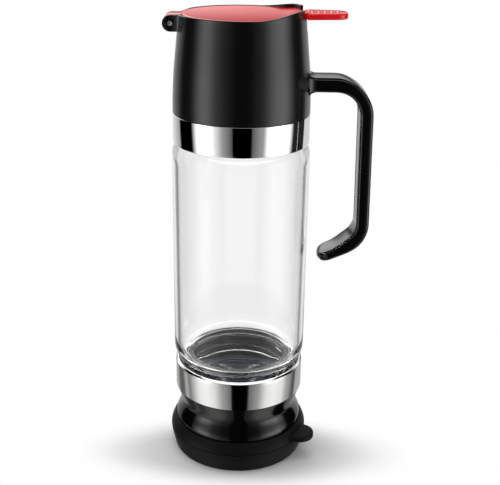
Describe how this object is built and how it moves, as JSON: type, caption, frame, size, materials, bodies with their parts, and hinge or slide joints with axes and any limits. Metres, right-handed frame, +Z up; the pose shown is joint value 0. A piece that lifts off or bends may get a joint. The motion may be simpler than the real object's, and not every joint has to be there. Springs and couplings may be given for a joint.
{
  "type": "glass honey dispenser",
  "caption": "Clear glass dispenser for honey or syrup with a hooked side handle, a press lever on its tapered head, steel bands and a soft foot cap over the bottom outlet.",
  "frame": {"origin": "middle of the foot cap's underside, on the surface the dispenser stands on", "axes": "+Z up the bottle's axis, +X towards the handle and the thumb paddle, -Y towards the side with the foot cap's pull tab"},
  "size_m": [0.1066, 0.0762, 0.2439],
  "materials": {
    "base_cap": "matte",
    "base_collar": "gloss",
    "lower_band": "brushed",
    "outlet_funnel": "satin",
    "base_gasket": "matte",
    "glass_body": "clear",
    "head_gasket": "matte",
    "neck_insert": "satin",
    "upper_band": "polished",
    "head_shell": "satin",
    "insert_screw_1": "plain",
    "insert_screw_2": "plain",
    "insert_screw_3": "plain",
    "deck_plate": "matte",
    "handle": "satin",
    "handle_screw_1": "plain",
    "handle_screw_2": "plain",
    "hinge_pin": "plain",
    "lever": "gloss",
    "valve_button": "matte",
    "valve_rod": "plain",
    "valve_spring": "plain",
    "valve_disc": "matte",
    "disc_retainer": "plain"
  },
  "bodies": {
    "foot": {"base_cap": "base_cap"},
    "base": {"base_collar": "base_collar", "lower_band": "lower_band", "outlet_funnel": "outlet_funnel"},
    "base_seal": {"base_gasket": "base_gasket"},
    "bottle": {"glass_body": "glass_body"},
    "head_seal": {"head_gasket": "head_gasket"},
    "head": {"neck_insert": "neck_insert", "upper_band": "upper_band", "head_shell": "head_shell", "insert_screw_1": "insert_screw_1", "insert_screw_2": "insert_screw_2", "insert_screw_3": "insert_screw_3", "deck_plate": "deck_plate", "handle": "handle", "handle_screw_1": "handle_screw_1", "handle_screw_2": "handle_screw_2", "hinge_pin": "hinge_pin"},
    "press_lever": {"lever": "lever"},
    "valve": {"valve_button": "valve_button", "valve_rod": "valve_rod", "valve_spring": "valve_spring", "valve_disc": "valve_disc", "disc_retainer": "disc_retainer"}
  },
  "joints": [
    {"name": "cap_pull_off", "type": "slide", "parent": "foot", "child": "base", "axis": [0, 0, 1], "range_m": [0, 0.03]},
    {"name": "base_lift", "type": "slide", "parent": "base", "child": "base_seal", "axis": [0, 0, 1], "range_m": [0, 0.0077]},
    {"name": "unscrew_base", "type": "hinge", "parent": "base_seal", "child": "bottle", "pos_m": [0, 0, 0.0422], "axis": [0, 0, 1], "range_deg": [0, 540]},
    {"name": "head_lift", "type": "slide", "parent": "bottle", "child": "head_seal", "axis": [0, 0, 1], "range_m": [0, 0.0077]},
    {"name": "unscrew_head", "type": "hinge", "parent": "head_seal", "child": "head", "pos_m": [0, 0, 0.1911], "axis": [0, 0, 1], "range_deg": [0, 540]},
    {"name": "press", "type": "hinge", "parent": "head", "child": "press_lever", "pos_m": [-0.0351, 0, 0.23635], "axis": [0, 1, 0], "range_deg": [0, 4], "stiffness_Nm_per_rad": 2, "springref_deg": -5.73},
    {"name": "valve_stroke", "type": "slide", "parent": "head", "child": "valve", "axis": [0, 0, -1], "range_m": [0, 0.0026], "deforming": ["valve_spring"]}
  ],
  "couplings": [
    {"joint": "base_lift", "follows": "unscrew_base", "m_per_rad": 0.00080851},
    {"joint": "head_lift", "follows": "unscrew_head", "m_per_rad": 0.00080851},
    {"joint": "valve_stroke", "follows": "press", "m_per_rad": 0.035}
  ]
}
